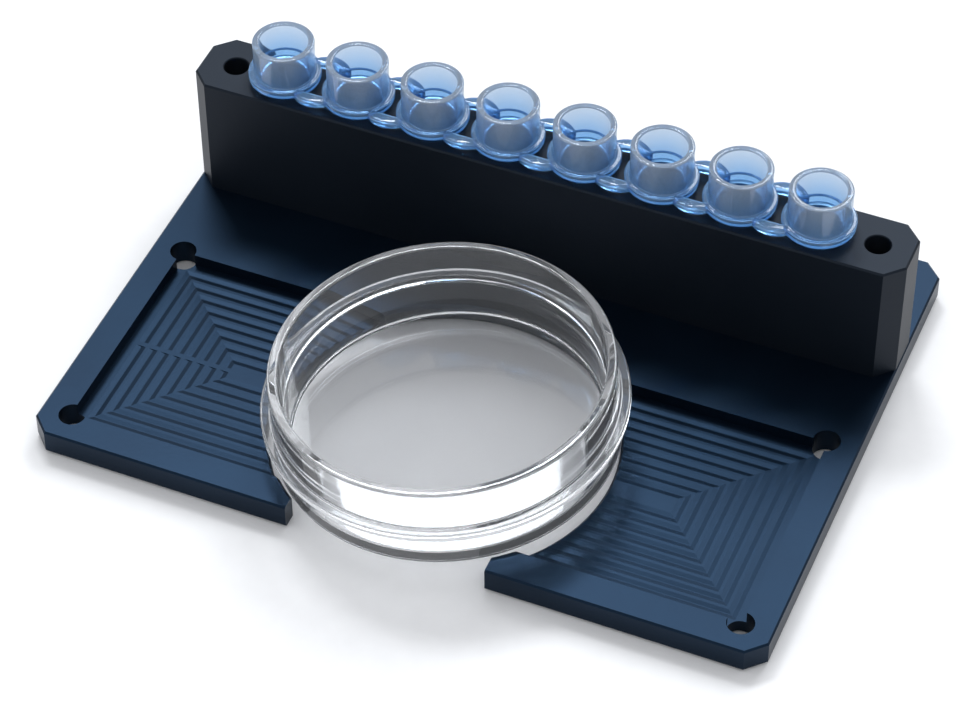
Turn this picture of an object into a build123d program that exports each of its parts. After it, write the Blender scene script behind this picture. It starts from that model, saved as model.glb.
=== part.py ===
from build123d import *
import os
from math import sqrt

# Bench holder for laboratory samples: a flat machined plate with a microscope slide pocket
# and a round opening for a 35 mm class culture dish, and a raised block along the back
# that holds a strip of eight small reaction tubes.
#
# Millimetres. +X runs to the right along the row of tubes, +Y to the back, +Z up.
# Distances called "from the front" start at the plate's front edge, and heights start at
# its underside. The origin is the middle of the whole footprint, on the surface below it.

# Plate
plate_width = 84.0
plate_depth = 61.2
plate_thickness = 3.0
corner_chamfer = 2.0
edge_break = 0.2

# Pocket for a 76 x 26 mm slide, with a drilled relief in each corner
slide_length = 76.0
slide_width = 26.0
slide_clearance = 0.5
pocket_depth = 1.5
pocket_front = 3.7
relief_radius = 1.5
relief_side_shift = 0.15
relief_end_shift = 0.18

# Tool marks on the pocket floor: closed passes, one inside the other, each a shallow V.
# The cutter stepped outwards on the left, where a line across the passes stays uncut.
pass_pitch = 1.45
pass_first = 1.65
pass_count = 8
mark_width = 1.1
mark_bottom = 0.1
mark_depth = 0.08
step_line_width = 0.6
step_line_length = 14.0

# Round opening for the dish, level with the pocket's middle and cut out through the front
# edge. Its mouth is cut square, so the plate has no sharp points beside it.
opening_radius = 19.0
opening_shift = -0.35
opening_chamfer = 0.3
mouth_width = 22.8

# Block for the tubes
block_width = 83.8
block_depth = 8.6
block_height = 15.6
block_from_front = 45.95

# Reaction tubes, with heights from the top of the block
tube_count = 8
tube_pitch = 9.0
row_shift = -0.3
rim_height = 5.7
collar_radius = 3.5
mouth_radius = 2.75
neck_radius = 3.05
neck_bottom = -3.0
cone_radius = 1.45
cone_bottom = -12.6
tube_wall = 0.4
rail_top = 1.6
rail_thickness = 0.9
ring_radius = 4.1
web_reach = 4.0
web_radius = 2.9
slot_half_length = 2.45
seat_clearance = 0.08
rail_clearance = 0.02

# Screws that hold the block, put in from below
screw_spacing = 75.8
screw_radius = 1.39
thread_radius = 1.42
thread_chamfer = 0.1
screw_hole_radius = 1.6
screw_length = 16.0
screw_tip = 0.4
head_radius = 2.9
head_height = 1.5
head_clearance = 0.1
socket_flats = 2.0
socket_depth = 1.1

# Culture dish, with heights above its own underside
dish_base_radius = 18.85
dish_rim_radius = 18.6
dish_ring_radius = 19.85
dish_inside_base = 17.05
dish_inside_rim = 17.5
dish_floor = 0.6
dish_height = 10.3
dish_ring_bottom = 4.5
dish_ring_top = 5.4
dish_floor_corner = 0.25
dish_rim_round = 0.25
dish_from_centre = 0.2
dish_from_front = 17.0
dish_lift = 2.85
dish_lean_left = 0.059
dish_lean_front = 0.026

# The dish leans over the front edge, so the footprint is deeper than the plate
dish_lean = sqrt(dish_lean_left**2 + dish_lean_front**2)
lean_scale = sqrt(1.0 + dish_lean**2)
ring_reach = dish_ring_radius * sqrt(1.0 - (dish_lean_front / lean_scale) ** 2)
ring_shift = dish_lean_front / lean_scale * dish_ring_top
dish_front = dish_from_front - ring_reach - ring_shift
footprint_middle = (plate_depth + dish_front) / 2

pocket_length = slide_length + 2 * slide_clearance
pocket_width = slide_width + 2 * slide_clearance
pocket_middle = pocket_front + pocket_width / 2
block_top = plate_thickness + block_height


def at(x, from_front, height):
    """A place given from the plate's centre line, its front edge and its underside."""
    return Pos(x, from_front - footprint_middle, height)


def chamfered_block(width, depth, height, chamfer_size):
    """An upright block whose four vertical corners are cut off."""
    outline = chamfer(Rectangle(width, depth).vertices(), chamfer_size)
    return extrude(outline, height)


def break_outline(solid, side):
    """Break the outer edges of the top (side -1) or bottom (side 0) face."""
    face = solid.faces().sort_by(Axis.Z)[side]
    return chamfer(face.outer_wire().edges(), edge_break)


def turned(points):
    """A solid turned about +Z from a closed outline of (radius, height) points."""
    outline = make_face(Polyline(*[(radius, 0, height) for radius, height in points], close=True))
    return revolve(outline, Axis.Z)


def sloped_block(half_length, half_width, growth):
    """A rectangular block, as high as a mark is deep, whose sides slope out by growth at its top."""
    foot = Rectangle(2 * half_length, 2 * half_width)
    top = Rectangle(2 * (half_length + growth), 2 * (half_width + growth))
    return loft([foot, Pos(0, 0, mark_depth) * top], ruled=True)


def tool_mark(half_length, half_width):
    """One closed V-shaped tool mark, centred on the pocket, with its bottom at height 0."""
    half_bottom = mark_bottom / 2
    slope = (mark_width - mark_bottom) / 2
    outer = sloped_block(half_length + half_bottom, half_width + half_bottom, slope)
    inner = sloped_block(half_length - half_bottom, half_width - half_bottom, -slope)
    return outer - inner


def tube_places():
    """Centre of each tube along the row."""
    return [row_shift + tube_pitch * (index - (tube_count - 1) / 2) for index in range(tube_count)]


def screw_places():
    return [-screw_spacing / 2, screw_spacing / 2]


def make_pocket():
    """Everything that is milled away for the slide."""
    floor_height = plate_thickness - pocket_depth
    marks = Part()
    for index in range(pass_count):
        half_width = pass_first + pass_pitch * index
        half_length = half_width + (pocket_length - pocket_width) / 2
        marks += tool_mark(half_length, half_width)
    step_line = extrude(Rectangle(step_line_length, step_line_width), mark_depth)
    marks -= Pos((step_line_length - pocket_length) / 2, 0, 0) * step_line
    box = extrude(Rectangle(pocket_length, pocket_width), pocket_depth)
    return at(0, pocket_middle, floor_height - mark_depth) * (marks + Pos(0, 0, mark_depth) * box)


def make_reliefs():
    relief_x = pocket_length / 2 - relief_side_shift
    front = pocket_front - relief_end_shift
    back = pocket_front + pocket_width + relief_end_shift
    drill = extrude(Circle(relief_radius), plate_thickness)
    places = [(x, y) for x in (-relief_x, relief_x) for y in (front, back)]
    return Part() + [at(x, y, 0) * drill for x, y in places]


def make_opening():
    """The dish opening, with its edge chamfered at the plate's top and at the pocket's floor."""
    through = at(opening_shift, pocket_middle, 0) * extrude(Circle(opening_radius), plate_thickness)
    through += at(0, 0, 0) * extrude(Rectangle(mouth_width, 2 * pocket_middle), plate_thickness)
    wide = opening_radius + opening_chamfer
    bevel = turned([(0, 0), (opening_radius, 0), (wide, opening_chamfer), (0, opening_chamfer)])
    top_bevel = at(opening_shift, pocket_middle, plate_thickness - opening_chamfer) * bevel
    floor_height = plate_thickness - pocket_depth
    floor_bevel = at(opening_shift, pocket_middle, floor_height - opening_chamfer) * bevel
    floor_area = at(0, pocket_middle, 0) * extrude(Rectangle(pocket_length, pocket_width), plate_thickness)
    return through + top_bevel + (floor_bevel & floor_area)


def make_base_plate():
    plate = chamfered_block(plate_width, plate_depth, plate_thickness, corner_chamfer)
    plate = break_outline(plate, -1)
    plate = break_outline(plate, 0)
    plate = at(0, plate_depth / 2, 0) * plate
    plate -= make_pocket()
    plate -= make_reliefs()
    plate -= make_opening()
    countersink = turned(
        [
            (0, 0),
            (head_radius + head_clearance, 0),
            (screw_hole_radius, head_height),
            (screw_hole_radius, plate_thickness),
            (0, plate_thickness),
        ]
    )
    for x in screw_places():
        plate -= at(x, block_from_front, 0) * countersink
    return plate


def make_tube_seat():
    """Tapered seat for one tube, right through the block, with heights from the block's top."""
    gap = seat_clearance
    return turned(
        [
            (0, 0),
            (neck_radius + gap + edge_break, 0),
            (neck_radius + gap, -edge_break),
            (neck_radius + gap, neck_bottom),
            (cone_radius + gap, cone_bottom),
            (cone_radius + gap, -block_height),
            (0, -block_height),
        ]
    )


def make_tube_block():
    block = chamfered_block(block_width, block_depth, block_height, corner_chamfer)
    block = break_outline(block, -1)
    block = at(0, block_from_front, plate_thickness) * block
    seat = make_tube_seat()
    for x in tube_places():
        block -= at(x, block_from_front, block_top) * seat
    tapped_hole = turned(
        [
            (0, 0),
            (thread_radius, 0),
            (thread_radius, block_height - thread_chamfer),
            (thread_radius + thread_chamfer, block_height),
            (0, block_height),
        ]
    )
    for x in screw_places():
        block -= at(x, block_from_front, plate_thickness) * tapped_hole
    return block


def make_screw():
    """Countersunk screw, head down, with its underside at height 0."""
    body = turned(
        [
            (0, 0),
            (head_radius, 0),
            (screw_radius, head_height),
            (screw_radius, screw_length - screw_tip),
            (screw_radius - screw_tip, screw_length),
            (0, screw_length),
        ]
    )
    return body - extrude(RegularPolygon(socket_flats / 2, 6, major_radius=False), socket_depth)


def make_block_screws():
    screw = make_screw()
    return Part() + [at(x, block_from_front, 0) * screw for x in screw_places()]


def make_rail():
    """The moulded rail of rings and webs that joins the eight tubes."""
    places = tube_places()
    length = places[-1] - places[0]
    rail_bottom = rail_top - rail_thickness
    band = extrude(Rectangle(length, 2 * slot_half_length), rail_thickness)
    rail = Pos((places[0] + places[-1]) / 2, 0, 0) * band
    ring = extrude(Circle(ring_radius), rail_thickness)
    for x in places:
        rail += Pos(x, 0, 0) * ring
    web = extrude(Circle(web_radius), rail_thickness)
    for left, right in zip(places, places[1:]):
        for side in (-1, 1):
            rail += Pos((left + right) / 2, side * (web_reach - web_radius), 0) * web
    slot = extrude(Rectangle(tube_pitch, 2 * slot_half_length), rail_thickness)
    for left, right in zip(places, places[1:]):
        gap = Pos((left + right) / 2, 0, 0) * slot
        gap -= Pos(left, 0, 0) * ring
        gap -= Pos(right, 0, 0) * ring
        rail -= gap
    hole = extrude(Circle(collar_radius + rail_clearance), rail_thickness)
    for x in places:
        rail -= Pos(x, 0, 0) * hole
    return at(0, block_from_front, block_top + rail_bottom) * rail


def make_tube():
    """One open reaction tube, with heights from the top of the block."""
    collar_bottom = rail_top - rail_thickness
    tip_radius = cone_radius - tube_wall
    outside = turned(
        [
            (0, rim_height),
            (collar_radius, rim_height),
            (collar_radius, collar_bottom),
            (neck_radius, collar_bottom),
            (neck_radius, neck_bottom),
            (cone_radius, cone_bottom),
            (0, cone_bottom),
        ]
    )
    outside += Pos(0, 0, cone_bottom) * Sphere(cone_radius)
    inside = turned(
        [
            (0, rim_height),
            (mouth_radius, rim_height),
            (mouth_radius, collar_bottom),
            (neck_radius - tube_wall, neck_bottom),
            (tip_radius, cone_bottom),
            (0, cone_bottom),
        ]
    )
    inside += Pos(0, 0, cone_bottom) * Sphere(tip_radius)
    tube = outside - inside
    rim_edges = tube.edges().group_by(Axis.Z)[-1]
    return fillet(rim_edges, edge_break)


def make_dish():
    """Open culture dish, its wall thinner towards the rim, with a gripping ring round it."""
    taper = (dish_base_radius - dish_rim_radius) / dish_height
    outside = turned(
        [
            (0, 0),
            (dish_base_radius - edge_break, 0),
            (dish_base_radius, edge_break),
            (dish_base_radius - taper * dish_ring_bottom, dish_ring_bottom),
            (dish_ring_radius - edge_break, dish_ring_bottom),
            (dish_ring_radius, dish_ring_bottom + edge_break),
            (dish_ring_radius, dish_ring_top - edge_break),
            (dish_ring_radius - edge_break, dish_ring_top),
            (dish_base_radius - taper * dish_ring_top, dish_ring_top),
            (dish_rim_radius, dish_height),
            (0, dish_height),
        ]
    )
    inside = turned(
        [
            (0, dish_floor),
            (dish_inside_base - dish_floor_corner, dish_floor),
            (dish_inside_base, dish_floor + dish_floor_corner),
            (dish_inside_rim, dish_height),
            (0, dish_height),
        ]
    )
    dish = outside - inside
    rim_edges = dish.edges().group_by(Axis.Z)[-1]
    dish = fillet(rim_edges, dish_rim_round)
    place = at(dish_from_centre, dish_from_front, dish_lift)
    leaning = Plane(
        origin=place.position,
        x_dir=(1, 0, dish_lean_left),
        z_dir=(-dish_lean_left, -dish_lean_front, 1),
    )
    return leaning.location * dish


os.makedirs("parts", exist_ok=True)
export_step(make_base_plate(), "parts/base_plate.step")
export_step(make_tube_block(), "parts/tube_block.step")
export_step(make_block_screws(), "parts/block_screws.step")
export_step(make_rail(), "parts/strip_rail.step")
tube = make_tube()
for number, x in enumerate(tube_places(), start=1):
    export_step(at(x, block_from_front, block_top) * tube, f"parts/tube_{number}.step")
export_step(make_dish(), "parts/culture_dish.step")
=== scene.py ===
import bmesh
import bpy
from math import cos, pi, radians, sin, sqrt
from mathutils import Euler, Matrix, Vector


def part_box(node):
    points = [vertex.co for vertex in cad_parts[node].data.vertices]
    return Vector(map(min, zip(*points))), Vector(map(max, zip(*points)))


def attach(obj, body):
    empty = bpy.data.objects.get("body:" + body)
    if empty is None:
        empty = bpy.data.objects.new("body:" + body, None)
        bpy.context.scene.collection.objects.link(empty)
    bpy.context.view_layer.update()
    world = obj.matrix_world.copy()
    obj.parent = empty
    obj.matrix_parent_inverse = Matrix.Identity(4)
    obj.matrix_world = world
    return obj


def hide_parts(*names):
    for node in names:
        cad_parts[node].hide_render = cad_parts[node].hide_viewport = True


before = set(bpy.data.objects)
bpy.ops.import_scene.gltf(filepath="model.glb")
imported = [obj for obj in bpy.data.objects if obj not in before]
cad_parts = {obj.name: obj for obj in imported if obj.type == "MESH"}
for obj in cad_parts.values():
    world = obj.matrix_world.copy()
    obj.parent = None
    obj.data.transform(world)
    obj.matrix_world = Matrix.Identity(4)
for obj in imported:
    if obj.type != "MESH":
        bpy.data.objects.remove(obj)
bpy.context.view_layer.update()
MM = 0.001

plate_low, plate_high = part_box("base_plate")
block_low, block_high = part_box("tube_block")
dish_low, dish_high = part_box("culture_dish")
tube_names = sorted(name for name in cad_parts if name.startswith("tube_") and name != "tube_block")


# ---------------------------------------------------------------- mesh helpers

def new_piece(name, mesh_builder, body, material, replaced=()):
    """Turn a bmesh into a piece that rides on a body and stands for CAD nodes."""
    mesh = bpy.data.meshes.new(name)
    mesh_builder.normal_update()
    mesh_builder.to_mesh(mesh)
    mesh_builder.free()
    piece = bpy.data.objects.new(name, mesh)
    bpy.context.scene.collection.objects.link(piece)
    piece.data.materials.append(material)
    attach(piece, body)
    if replaced:
        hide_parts(*replaced)
    return piece


def rounded(corners, arc_steps=4):
    """Outline points from (radius, height, round) corners, each corner rounded by its own radius."""
    points = []
    count = len(corners)
    for index, (x, z, round_radius) in enumerate(corners):
        here = Vector((x, z))
        if round_radius <= 0:
            points.append((x, z))
            continue
        before = (Vector(corners[index - 1][:2]) - here).normalized()
        after = (Vector(corners[(index + 1) % count][:2]) - here).normalized()
        half = before.angle(after) / 2
        reach = round_radius / max(1e-6, abs(sin(half) / cos(half)))
        start = here + before * reach
        end = here + after * reach
        for step in range(arc_steps + 1):
            t = step / arc_steps
            bend = start.lerp(here, t).lerp(here.lerp(end, t), t)
            points.append((bend.x, bend.y))
    return points


def lathe(outline, segments, closed=True):
    """A turned skin about +Z through (radius, height) points in metres."""
    bm = bmesh.new()
    rings = []
    for radius, height in outline:
        if radius < 1e-7:
            rings.append([bm.verts.new((0, 0, height))])
            continue
        ring = []
        for index in range(segments):
            angle = 2 * pi * index / segments
            ring.append(bm.verts.new((radius * cos(angle), radius * sin(angle), height)))
        rings.append(ring)
    pairs = list(zip(rings, rings[1:]))
    if closed:
        pairs.append((rings[-1], rings[0]))
    for low, high in pairs:
        for index in range(segments):
            following = (index + 1) % segments
            if len(low) == 1 and len(high) == 1:
                continue
            if len(low) == 1:
                bm.faces.new((low[0], high[following], high[index]))
            elif len(high) == 1:
                bm.faces.new((low[index], low[following], high[0]))
            else:
                bm.faces.new((low[index], low[following], high[following], high[index]))
    bmesh.ops.recalc_face_normals(bm, faces=bm.faces)
    return bm


def smooth_rounds(piece, degrees=50):
    """Smooth the rounds and keep the flats flat: normals follow the larger faces."""
    for polygon in piece.data.polygons:
        polygon.use_smooth = True
    piece.data.set_sharp_from_angle(angle=radians(degrees))
    weighted = piece.modifiers.new("weighted", "WEIGHTED_NORMAL")
    weighted.keep_sharp = True
    weighted.weight = 90


# ---------------------------------------------------------------- material helpers

def shader_material(name):
    material = bpy.data.materials.new(name)
    material.use_nodes = True
    nodes = material.node_tree.nodes
    nodes.clear()
    output = nodes.new("ShaderNodeOutputMaterial")
    shader = nodes.new("ShaderNodeBsdfPrincipled")
    material.node_tree.links.new(shader.outputs["BSDF"], output.inputs["Surface"])
    return material, shader


def feed(material, socket, value):
    """Link a node's output to a socket, or set the socket to a constant."""
    if isinstance(value, bpy.types.NodeSocket):
        material.node_tree.links.new(value, socket)
    else:
        socket.default_value = value


def add_node(material, kind, **inputs):
    """Add a node; keyword arguments set or link its inputs."""
    node = material.node_tree.nodes.new(kind)
    for name, value in inputs.items():
        feed(material, node.inputs[name], value)
    return node


def link(material, source, target):
    material.node_tree.links.new(source, target)


def maths(material, operation, *values):
    node = material.node_tree.nodes.new("ShaderNodeMath")
    node.operation = operation
    for socket, value in zip(node.inputs, values):
        feed(material, socket, value)
    return node.outputs[0]


def noise(material, coordinates, scale, detail=3.0, roughness=0.55):
    node = add_node(
        material, "ShaderNodeTexNoise", Vector=coordinates, Scale=scale, Detail=detail, Roughness=roughness
    )
    return node.outputs["Fac"]


def ramp(material, value, stops):
    """A colour ramp through (place, colour) stops."""
    node = add_node(material, "ShaderNodeValToRGB", Fac=value)
    elements = node.color_ramp.elements
    while len(elements) < len(stops):
        elements.new(0.5)
    for element, (place, colour) in zip(elements, stops):
        element.position = place
        element.color = (*colour, 1.0)
    return node.outputs["Color"]


def spread(material, value, low, high):
    """Map a value from 0..1 to low..high."""
    node = add_node(material, "ShaderNodeMapRange", Value=value)
    node.inputs["To Min"].default_value = low
    node.inputs["To Max"].default_value = high
    return node.outputs["Result"]


# ---------------------------------------------------------------- materials

def anodised(name, dark, light, roughness, metallic):
    """Anodised aluminium: a dyed satin skin over a fine bead-blasted grain."""
    material, shader = shader_material(name)
    place = add_node(material, "ShaderNodeTexCoord").outputs["Object"]
    cloud = noise(material, place, 60.0, 4.0)
    link(material, ramp(material, cloud, [(0.3, dark), (0.7, light)]), shader.inputs["Base Color"])
    fine = noise(material, place, 2500.0, 2.0)
    link(material, spread(material, cloud, roughness - 0.04, roughness + 0.05), shader.inputs["Roughness"])
    bump = add_node(material, "ShaderNodeBump", Strength=0.12, Distance=0.00005, Height=fine)
    link(material, bump.outputs["Normal"], shader.inputs["Normal"])
    shader.inputs["Metallic"].default_value = metallic
    shader.inputs["Specular IOR Level"].default_value = 0.28
    return material


def screw_steel():
    material, shader = shader_material("screw_steel")
    place = add_node(material, "ShaderNodeTexCoord").outputs["Object"]
    grain = noise(material, place, 900.0, 3.0)
    colours = [(0.3, (0.42, 0.42, 0.43)), (0.7, (0.62, 0.62, 0.63))]
    link(material, ramp(material, grain, colours), shader.inputs["Base Color"])
    link(material, spread(material, grain, 0.25, 0.4), shader.inputs["Roughness"])
    shader.inputs["Metallic"].default_value = 1.0
    return material


def dish_moulding(pale, deep):
    """Clear moulded plastic with faint flow marks."""
    material, shader = shader_material("dish_plastic")
    place = add_node(material, "ShaderNodeTexCoord").outputs["Object"]
    flow = noise(material, place, 180.0, 3.0)
    link(material, ramp(material, flow, [(0.3, deep), (0.7, pale)]), shader.inputs["Base Color"])
    link(material, spread(material, flow, 0.024, 0.039), shader.inputs["Roughness"])
    shader.inputs["IOR"].default_value = 1.55
    shader.inputs["Transmission Weight"].default_value = 0.96
    return material


def tube_moulding_painted_shade(pale, deep, start, end):
    """Translucent tube plastic with painted shade: palest at the rim, and a deeper blue painted from the
    rail down, where the tube sits in the block's shade.
    """
    material, shader = shader_material("tube_plastic")
    place = add_node(material, "ShaderNodeTexCoord").outputs["Object"]
    height = add_node(material, "ShaderNodeSeparateXYZ", Vector=place).outputs["Z"]
    # Painted shade: the colour is deep blue up to start and pales to the rim colour at end, standing in
    # for the block's shade on the lower tube.
    level = add_node(material, "ShaderNodeMapRange", Value=height)
    level.inputs["From Min"].default_value = start
    level.inputs["From Max"].default_value = end
    flow = noise(material, place, 180.0, 3.0)
    shade = maths(material, "MULTIPLY", flow, 0.12)
    shade = maths(material, "ADD", level.outputs["Result"], shade)
    link(material, ramp(material, shade, [(0.0, deep), (1.0, pale)]), shader.inputs["Base Color"])
    link(material, spread(material, flow, 0.055, 0.09), shader.inputs["Roughness"])
    shader.inputs["IOR"].default_value = 1.49
    shader.inputs["Transmission Weight"].default_value = 0.8
    return material


plate_skin = anodised("anodised_plate", (0.0055, 0.0150, 0.0310), (0.0074, 0.0200, 0.0405), 0.36, 0.82)
block_skin = anodised("anodised_block", (0.0075, 0.0120, 0.0195), (0.0100, 0.0152, 0.024), 0.48, 0.60)
steel = screw_steel()
# Tube colour with painted shade: deep blue from 1.2 mm above the block down, pale from 6.2 mm above it up
# to the rim.
tube_plastic = tube_moulding_painted_shade(
    (0.76, 0.86, 0.965), (0.26, 0.57, 0.96), block_high.z + 1.2 * MM, block_high.z + 6.2 * MM
)
dish_plastic = dish_moulding((0.97, 0.975, 0.985), (0.955, 0.962, 0.975))


def paint(node, material):
    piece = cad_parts[node]
    piece.data.materials.clear()
    piece.data.materials.append(material)


paint("base_plate", plate_skin)
paint("tube_block", block_skin)
paint("block_screws", steel)


# ---------------------------------------------------------------- culture dish

# The dish leans to the left and to the front; each lean is a slope. The outline's corners are
# (radius, height, round) in millimetres, from the middle of the base outside to its middle inside.
dish_lean_left = 0.059
dish_lean_front = 0.026
dish_outline = [
    (0, 0, 0),
    (18.85, 0, 0.5),
    (18.74, 4.5, 0.12),
    (19.85, 4.5, 0.28),
    (19.85, 5.4, 0.28),
    (18.72, 5.4, 0.25),
    (18.6, 10.3, 0.3),
    (17.5, 10.3, 0.3),
    (17.05, 0.6, 0.35),
    (0, 0.6, 0),
]


def make_dish():
    points = [(x * MM, z * MM) for x, z in rounded(dish_outline)]
    bm = lathe(points, 160, closed=False)
    lean = Vector((-dish_lean_left, -dish_lean_front, 1)).normalized()
    side = Vector((1, 0, dish_lean_left)).normalized()
    side = (side - lean * side.dot(lean)).normalized()
    turn = Matrix((side, lean.cross(side), lean)).transposed().to_4x4()
    bmesh.ops.transform(bm, matrix=turn, verts=bm.verts)
    low = Vector([min(v.co[axis] for v in bm.verts) for axis in range(3)])
    high = Vector([max(v.co[axis] for v in bm.verts) for axis in range(3)])
    shift = (dish_low + dish_high - low - high) / 2
    bmesh.ops.translate(bm, vec=shift, verts=bm.verts)
    piece = new_piece("clear_dish", bm, "dish", dish_plastic, ["culture_dish"])
    smooth_rounds(piece)
    return piece


clear_dish = make_dish()


# ---------------------------------------------------------------- tube strip

def make_tube(name):
    """One open tube with its flange ring."""
    low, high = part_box(name)
    centre = (low + high) / 2
    top = high.z / MM
    block_top = block_high.z / MM
    outline = [
        (3.5, top, 0.2),
        (3.5, block_top + 1.6, 0.25),
        (4.1, block_top + 1.6, 0.2),
        (4.1, block_top + 0.7, 0.2),
        (3.05, block_top + 0.7, 0.2),
        (3.05, block_top - 3.0, 0.3),
        (1.45, block_top - 12.6, 0.5),
        (0.9, block_top - 14.0, 0.4),
        (0, block_top - 14.05, 0),
        (0, block_top - 13.65, 0),
        (0.7, block_top - 13.5, 0.3),
        (1.05, block_top - 12.6, 0.3),
        (2.65, block_top - 3.0, 0.3),
        (2.75, block_top + 0.7, 0.1),
        (2.75, top, 0.2),
    ]
    points = [(x * MM, z * MM) for x, z in rounded(outline, 3)]
    bm = lathe(points, 72, closed=True)
    bmesh.ops.translate(bm, vec=(centre.x, centre.y, 0), verts=bm.verts)
    return new_piece("clear_" + name, bm, "strip", tube_plastic, [name])


def make_webs():
    """The rail's webs: a rounded crescent in front and behind, in each gap between two tubes."""
    rail_low, rail_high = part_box("strip_rail")
    bottom = rail_low.z
    top = rail_high.z
    row_y = (rail_low.y + rail_high.y) / 2
    places = [(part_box(name)[0].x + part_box(name)[1].x) / 2 for name in tube_names]
    steps = 20
    ease = 0.22 * MM
    bm = bmesh.new()
    for left, right in zip(places, places[1:]):
        middle = (left + right) / 2
        for side in (-1, 1):
            sections = []
            for step in range(steps + 1):
                x = -2.0 * MM + 4.0 * MM * step / steps
                outer = 1.1 * MM + sqrt((2.9 * MM) ** 2 - x * x)
                inner = 2.45 * MM
                profile = [
                    (inner + ease * 0.5, bottom),
                    (outer - ease * 0.5, bottom),
                    (outer, bottom + ease * 0.5),
                    (outer, top - ease),
                    (outer - ease * 0.3, top - ease * 0.3),
                    (outer - ease, top),
                    (inner + ease, top),
                    (inner + ease * 0.3, top - ease * 0.3),
                    (inner, top - ease),
                    (inner, bottom + ease * 0.5),
                ]
                sections.append([bm.verts.new((middle + x, row_y + side * y, z)) for y, z in profile])
            for one, other in zip(sections, sections[1:]):
                for index in range(len(one)):
                    after = (index + 1) % len(one)
                    bm.faces.new((one[index], one[after], other[after], other[index]))
            bm.faces.new(sections[0])
            bm.faces.new(sections[-1][::-1])
    bmesh.ops.recalc_face_normals(bm, faces=bm.faces)
    return new_piece("strip_webs", bm, "strip", tube_plastic, ["strip_rail"])


strip_pieces = [make_tube(name) for name in tube_names] + [make_webs()]
for piece in strip_pieces:
    smooth_rounds(piece)


# ---------------------------------------------------------------- floor, light, camera

# The floor lies a little under the plate, so that the two faces never coincide
floor_gap = 0.2 * MM


def make_floor():
    bm = bmesh.new()
    bmesh.ops.create_grid(bm, x_segments=8, y_segments=8, size=1.5)
    mesh = bpy.data.meshes.new("floor")
    bm.to_mesh(mesh)
    bm.free()
    floor = bpy.data.objects.new("floor", mesh)
    bpy.context.scene.collection.objects.link(floor)
    material, shader = shader_material("pale_floor")
    place = add_node(material, "ShaderNodeTexCoord").outputs["Object"]
    paper = noise(material, place, 400.0, 2.0)
    colours = [(0.3, (0.90, 0.885, 0.88)), (0.7, (0.92, 0.905, 0.90))]
    link(material, ramp(material, paper, colours), shader.inputs["Base Color"])
    shader.inputs["Roughness"].default_value = 0.8
    floor.data.materials.append(material)
    floor.location.z = -floor_gap


def area_light(name, azimuth, elevation, distance, width, height, power, colour):
    """A soft rectangular light that points at the object's middle."""
    data = bpy.data.lights.new(name, "AREA")
    data.shape = "RECTANGLE"
    data.size = width
    data.size_y = height
    data.energy = power
    data.color = colour
    light = bpy.data.objects.new(name, data)
    bpy.context.scene.collection.objects.link(light)
    a = radians(azimuth)
    e = radians(elevation)
    away = Vector((sin(a) * cos(e), -cos(a) * cos(e), sin(e)))
    light.location = away * distance
    light.rotation_mode = "QUATERNION"
    light.rotation_quaternion = away.to_track_quat("Z", "Y")
    return light


def make_world():
    world = bpy.data.worlds.new("studio")
    bpy.context.scene.world = world
    world.use_nodes = True
    background = world.node_tree.nodes["Background"]
    background.inputs["Color"].default_value = (0.93, 0.96, 1.0, 1.0)
    background.inputs["Strength"].default_value = 0.8


def make_camera():
    azimuth = radians(23.1)
    elevation = radians(46.11)
    roll = radians(-0.56)
    distance = 0.3874
    aim = Vector((-0.0007, -0.0013, plate_high.z))
    back = Vector((sin(azimuth) * cos(elevation), -cos(azimuth) * cos(elevation), sin(elevation)))
    data = bpy.data.cameras.new("camera")
    data.lens = 132.5
    data.sensor_width = 36.0
    camera = bpy.data.objects.new("camera", data)
    bpy.context.scene.collection.objects.link(camera)
    camera.rotation_mode = "QUATERNION"
    camera.location = aim + back * distance
    camera.rotation_quaternion = back.to_track_quat("Z", "Y") @ Euler((0, 0, roll)).to_quaternion()
    bpy.context.scene.camera = camera


make_floor()
make_world()
area_light("key_softbox", 215, 56, 1.1, 0.32, 0.19, 4.2, (0.92, 0.96, 1.0))
area_light("side_softbox", 176, 44, 1.1, 0.46, 0.42, 4.6, (0.92, 0.96, 1.0))
make_camera()
bpy.context.scene.view_settings.view_transform = "Standard"
